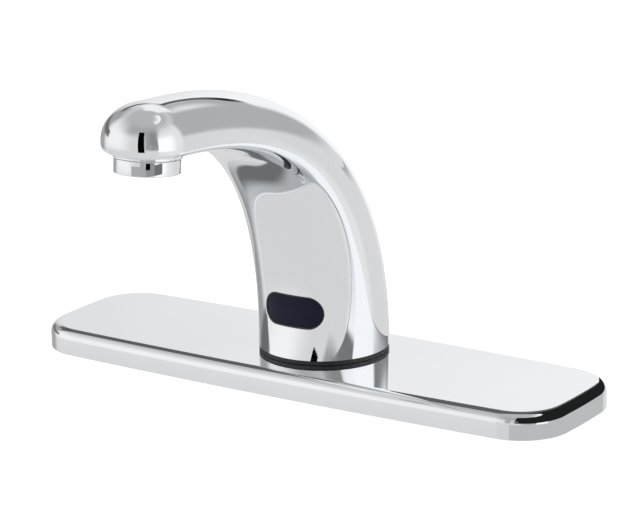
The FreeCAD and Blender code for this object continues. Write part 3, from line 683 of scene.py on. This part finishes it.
aerator_thread = threaded("aerator_thread", (NOSE_END + DOWN * THREAD_START) * MM, DOWN,
                          NECK_RADIUS * MM, THREAD_PITCH * MM, THREAD_TURNS, THREAD_RIDGE * MM,
                          chrome_turned)
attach(aerator_thread, "aerator_shell_body")

dress(finish("white plastic", (0.68, 0.68, 0.66), (0.76, 0.76, 0.74), 0.4), "flow_regulator",
      "aerator_insert", "dome_screen")
dress(finish("screen plastic", (0.50, 0.51, 0.52), (0.60, 0.61, 0.62), 0.42), "outlet_screen")

# ------------------------------------------------------------------ studio
# A white table and a soft studio all round.  Polished chrome shows only what stands round
# it, so the studio is a world of pale walls with soft boxes and narrow dark gaps.

HALF_TABLE, TABLE_GLOW = 6.0, 0.55
floor_mesh = bpy.data.meshes.new("table")
floor_mesh.from_pydata([(-HALF_TABLE, -HALF_TABLE, 0), (HALF_TABLE, -HALF_TABLE, 0),
                        (HALF_TABLE, HALF_TABLE, 0), (-HALF_TABLE, HALF_TABLE, 0)],
                       [], [(0, 1, 2, 3)])
table = placed("table", floor_mesh)
table.visible_glossy = False
paint = bpy.data.materials.new("white table")
paint.use_nodes = True
shader = paint.node_tree.nodes["Principled BSDF"]
shader.inputs["Base Color"].default_value = (0.8, 0.8, 0.8, 1)
shader.inputs["Roughness"].default_value = 0.9
shader.inputs["Emission Color"].default_value = (1, 1, 1, 1)
light_path = paint.node_tree.nodes.new("ShaderNodeLightPath")
seen_glow = maths(paint.node_tree, "MULTIPLY", light_path.outputs["Is Camera Ray"], TABLE_GLOW)
paint.node_tree.links.new(seen_glow, shader.inputs["Emission Strength"])
floor_mesh.materials.append(paint)

# What stands round the tap, drawn one over another.  Each has its left and right side as an
# azimuth (0 in front, 90 at +X), its foot and head as an elevation, each with the softness
# of that edge in degrees, and its brightness.
STUDIO = {
    "ceiling": ((-180, 0), (180, 0), (52, 12), (95, 5), 0.50),
    "left soft box": ((-84, 12), (-18, 22), (-12, 10), (36, 16), 0.98),
    "front wall, high": ((-34, 26), (74, 14), (32, 13), (62, 8), 0.42),
    "screen": ((30, 4), (66, 2), (-9, 4), (44, 10), 0.37),
    "screen, far side": ((40, 8), (66, 2), (-9, 4), (44, 10), 0.28),
    "right wall": ((66, 10), (134, 10), (-60, 10), (40, 12), 0.84),
    "right soft box": ((62, 1.2), (104, 14), (-18, 6), (24, 10), 1.10),
    "wall behind": ((134, 8), (205, 8), (6, 5), (46, 8), 0.46),
    "wall behind, low": ((134, 8), (212, 6), (-30, 8), (4, 5), 0.74),
    "window behind": ((183, 6), (222, 6), (33, 4), (61, 4), 0.97),
    "opening behind": ((186, 6), (216, 14), (-12, 6), (23, 1.5), 0.98),
    "corner behind": ((-126, 7), (-92, 8), (-22, 8), (44, 10), 0.39),
    "gap behind": ((-168, 3), (-151, 3), (22.4, 0.5), (26.2, 0.5), 0.01),
    "gap in the corner": ((-144, 5), (-118, 4), (27, 0.8), (32.5, 0.8), 0.02),
}
# What chrome shows of the studio by way of other chrome, mostly the plate's top.
SECOND_LOOK = {
    "right side": ((83, 2), (172, 10), (10, 3), (72, 8), 1.10),
    "low on the left": ((-122, 4), (-76, 4), (3, 3), (15, 1), 0.17),
    "low on the right": ((54, 3), (83, 1.5), (6, 3), (18, 1), 0.21),
    "low behind": ((130, 4), (188, 6), (-2, 3), (18.3, 1), 0.24),
    "high behind": ((-150, 6), (-104, 10), (43, 1.5), (59, 5), 0.18),
}
OPEN_BRIGHTNESS, ROOM_LIGHT = 0.72, 0.73


def studio_light():
    """Shader group: how bright the studio is in a direction from the tap, looked at first
    hand and by way of other chrome."""
    tree = bpy.data.node_groups.new("studio", "ShaderNodeTree")
    face = tree.interface
    face.new_socket("Direction", in_out="INPUT", socket_type="NodeSocketVector")
    face.new_socket("Brightness", in_out="OUTPUT", socket_type="NodeSocketFloat")
    face.new_socket("Second Look", in_out="OUTPUT", socket_type="NodeSocketFloat")
    make, join = tree.nodes.new, tree.links.new

    def value(operation, a, b=0.0):
        return maths(tree, operation, a, b)

    def ease(given, edge, soft):
        """From 0 to 1 across an edge, and the other way if soft is negative."""
        node = make("ShaderNodeMapRange")
        node.interpolation_type = "SMOOTHSTEP"
        join(given, node.inputs["Value"])
        node.inputs["From Min"].default_value = edge - soft
        node.inputs["From Max"].default_value = edge + soft
        return node.outputs["Result"]

    split = make("ShaderNodeSeparateXYZ")
    join(make("NodeGroupInput").outputs[0], split.inputs[0])
    x, y, z = split.outputs
    height = value("MULTIPLY", value("ARCSINE", z), 180 / math.pi)

    def draw(light, cards):
        """The light with each card painted over it, as far as the card covers it."""
        for left, right, foot, head, bright in cards.values():
            middle, half = math.radians((left[0] + right[0]) / 2), (right[0] - left[0]) / 2
            ahead = value("ADD", value("MULTIPLY", x, math.sin(middle)),
                          value("MULTIPLY", y, -math.cos(middle)))
            aside = value("ADD", value("MULTIPLY", x, math.cos(middle)),
                          value("MULTIPLY", y, math.sin(middle)))
            away = value("MULTIPLY", value("ARCTAN2", aside, ahead), 180 / math.pi)
            mask = value("MULTIPLY", ease(height, *foot), ease(height, head[0], -head[1]))
            if half < 180:
                mask = value("MULTIPLY", mask, ease(away, -half, left[1]))
                mask = value("MULTIPLY", mask, ease(away, half, -right[1]))
            light = value("ADD", value("MULTIPLY", light, value("SUBTRACT", 1.0, mask)),
                          value("MULTIPLY", mask, bright))
        return light

    light = draw(OPEN_BRIGHTNESS, STUDIO)
    result = make("NodeGroupOutput")
    join(light, result.inputs["Brightness"])
    join(draw(light, SECOND_LOOK), result.inputs["Second Look"])
    return tree


STUDIO_LIGHT = studio_light()


def by_way_of_chrome(tree):
    """1 for what is seen in one chrome surface by way of another, or else 0."""
    path = tree.nodes.new("ShaderNodeLightPath")
    return maths(tree, "GREATER_THAN", path.outputs["Ray Depth"], 1.5)


def studio_world():
    """The world: plain white to the camera, the studio to chrome, even light to the rest."""
    world = bpy.data.worlds.new("studio")
    bpy.context.scene.world = world
    world.use_nodes = True
    tree = world.node_tree
    tree.nodes.clear()
    make, join = tree.nodes.new, tree.links.new
    place, lit = make("ShaderNodeTexCoord"), make("ShaderNodeGroup")
    lit.node_tree = STUDIO_LIGHT
    join(place.outputs["Generated"], lit.inputs["Direction"])
    choose = make("ShaderNodeMix")
    join(by_way_of_chrome(tree), choose.inputs["Factor"])
    join(lit.outputs["Brightness"], choose.inputs["A"])
    join(lit.outputs["Second Look"], choose.inputs["B"])
    seen, plain, even = (make("ShaderNodeBackground") for _ in range(3))
    for background, strength in ((seen, 1.0), (plain, 1.0), (even, ROOM_LIGHT)):
        background.inputs["Color"].default_value = (1, 1, 1, 1)
        background.inputs["Strength"].default_value = strength
    join(choose.outputs["Result"], seen.inputs["Strength"])
    path, first, second = (make("ShaderNode" + kind) for kind in
                           ("LightPath", "MixShader", "MixShader"))
    join(path.outputs["Is Glossy Ray"], first.inputs["Fac"])
    join(even.outputs[0], first.inputs[1])
    join(seen.outputs[0], first.inputs[2])
    join(path.outputs["Is Camera Ray"], second.inputs["Fac"])
    join(first.outputs[0], second.inputs[1])
    join(plain.outputs[0], second.inputs[2])
    join(second.outputs[0], make("ShaderNodeOutputWorld").inputs["Surface"])


def glowing(name, slate, brightness):
    """A card's material: for the pieces it lights, an even brightness or, if None is given,
    the studio's own there, and for the one it doesn't light a dull tone lit by the room."""
    material = bpy.data.materials.new(name)
    material.use_nodes = True
    material.cycles.emission_sampling = "NONE"
    tree = material.node_tree
    tree.nodes.clear()
    make, join = tree.nodes.new, tree.links.new
    glow, dull = make("ShaderNodeEmission"), make("ShaderNodeBsdfDiffuse")
    glow.inputs["Color"].default_value = (1, 1, 1, 1)
    dull.inputs["Color"].default_value = (slate, slate, slate, 1)
    if brightness is None:
        place, way, lit = (make("ShaderNode" + kind) for kind in
                           ("NewGeometry", "VectorMath", "Group"))
        way.operation = "NORMALIZE"
        lit.node_tree = STUDIO_LIGHT
        join(place.outputs["Position"], way.inputs[0])
        join(way.outputs[0], lit.inputs["Direction"])
        wanting = maths(tree, "SUBTRACT", lit.outputs["Brightness"], ROOM_LIGHT * slate)
        join(maths(tree, "MAXIMUM", wanting, 0.0), glow.inputs["Strength"])
    else:
        glow.inputs["Strength"].default_value = brightness
    both, pick = make("ShaderNodeAddShader"), make("ShaderNodeMixShader")
    join(glow.outputs[0], both.inputs[0])
    join(dull.outputs[0], both.inputs[1])
    join(by_way_of_chrome(tree), pick.inputs["Fac"])
    join(both.outputs[0], pick.inputs[1])
    join(make("ShaderNodeBsdfTransparent").outputs[0], pick.inputs[2])
    join(pick.outputs[0], make("ShaderNodeOutputMaterial").inputs["Surface"])
    return material


def card(name, centre, distance, windows, glow, unlit):
    """A card standing round a point, that lights every piece but one, which sees only the
    card's dull tone.  Each of its windows is (left, right, foot, head) in degrees."""
    points, faces = [], []
    for left, right, foot, head in windows:
        wide, tall = (max(2, int(span / CARD_STEP) + 1) for span in (right - left, head - foot))
        first = len(points)
        for e in np.radians(np.linspace(foot, head, tall)):
            for a in np.radians(np.linspace(left, right, wide)):
                points.append((centre[0] + distance * math.sin(a) * math.cos(e),
                               centre[1] - distance * math.cos(a) * math.cos(e),
                               centre[2] + distance * math.sin(e)))
        for i in range(tall - 1):
            for j in range(wide - 1):
                k = first + i * wide + j
                faces.append((k, k + 1, k + wide + 1, k + wide))
    mesh = bpy.data.meshes.new(name)
    mesh.from_pydata(points, [], faces)
    mesh.materials.append(glow)
    piece = placed(name, mesh)
    piece.visible_camera = piece.visible_diffuse = piece.visible_shadow = False
    piece.visible_transmission = False
    kept_off = bpy.data.collections.new(name + " keeps off")
    kept_off.objects.link(unlit)
    for entry in kept_off.collection_objects:
        entry.light_linking.link_state = "EXCLUDE"
    piece.light_linking.receiver_collection = kept_off


# Each card: the point it stands round and how far off, its windows, the tone and the
# brightness of its material, and the piece it doesn't light.
HERE, NOSE = (0, 0, 0), (0, -0.121, 0.128)
FAR, FAR_PANEL, CARD_STEP = 30.0, 20.0, 3
CARDS = {
    # the plate's round sees the back and the right of the studio dark, its skirt a grey floor
    "dark side of the plate": (HERE, FAR, [(16, 200, -1, 66)], 0.02, None, deck_plate),
    "grey side of the plate": (HERE, FAR, [(200, 225, 20.3, 66), (225, 262, 33, 66)], 0.16, None,
                               deck_plate),
    "floor in front of the plate": (HERE, FAR, [(-22, 4, -30, -1)], 0.96, None, deck_plate),
    "floor beside the plate": (HERE, FAR, [(4, 165, -30, -1)], 0.74, None, deck_plate),
    # the aerator's grey panels, and two black stands in front of the nose
    "panel for the aerator": (HERE, FAR_PANEL, [(-18, 31, -14, 0)], 0.60, None, aerator_shell),
    "middle panel": (HERE, FAR_PANEL, [(31, 61, -14, 0)], 0.42, None, aerator_shell),
    "dark panel": (HERE, FAR_PANEL, [(61, 88, -14, 0)], 0.24, None, aerator_shell),
    "stand for the nose": (NOSE, 0.35, [(13, 28.5, -20.5, 43)], 0.0, 0.42, spout_skin),
    "stand for the aerator": (NOSE, 0.36, [(31.5, 46, -6.4, 3)], 0.0, 0.36, aerator_shell),
}
for name, (centre, distance, windows, slate, brightness, unlit) in CARDS.items():
    card(name, centre, distance, windows, glowing(name, slate, brightness), unlit)

studio_world()
overhead = bpy.data.lights.new("overhead", "AREA")
overhead.energy, overhead.size = 6.0, 2.0
overhead_lamp = placed("overhead", overhead)
overhead_lamp.location = (-0.3, -0.3, 1.6)
overhead_lamp.visible_glossy = False

# ------------------------------------------------------------------ camera
# A long lens 1.3 m away, in front and to the right, looking down by sixteen degrees.

CAMERA_PLACE = (683.3 * MM, -1028.7 * MM, 402.5 * MM)
CAMERA_RIGHT = (0.8349, 0.5501, -0.0163)
CAMERA_UP = (-0.1381, 0.2380, 0.9613)
CAMERA_BACK = (0.5328, -0.8004, 0.2746)
camera_data = bpy.data.cameras.new("camera")
camera_data.lens, camera_data.sensor_width = 168.9, 36.0
camera_data.dof.use_dof = False
camera = placed("camera", camera_data)
camera.matrix_world = Matrix.Translation(CAMERA_PLACE) @ Matrix(
    (CAMERA_RIGHT, CAMERA_UP, CAMERA_BACK)).transposed().to_4x4()
bpy.context.scene.camera = camera
bpy.context.scene.view_settings.view_transform = "Standard"
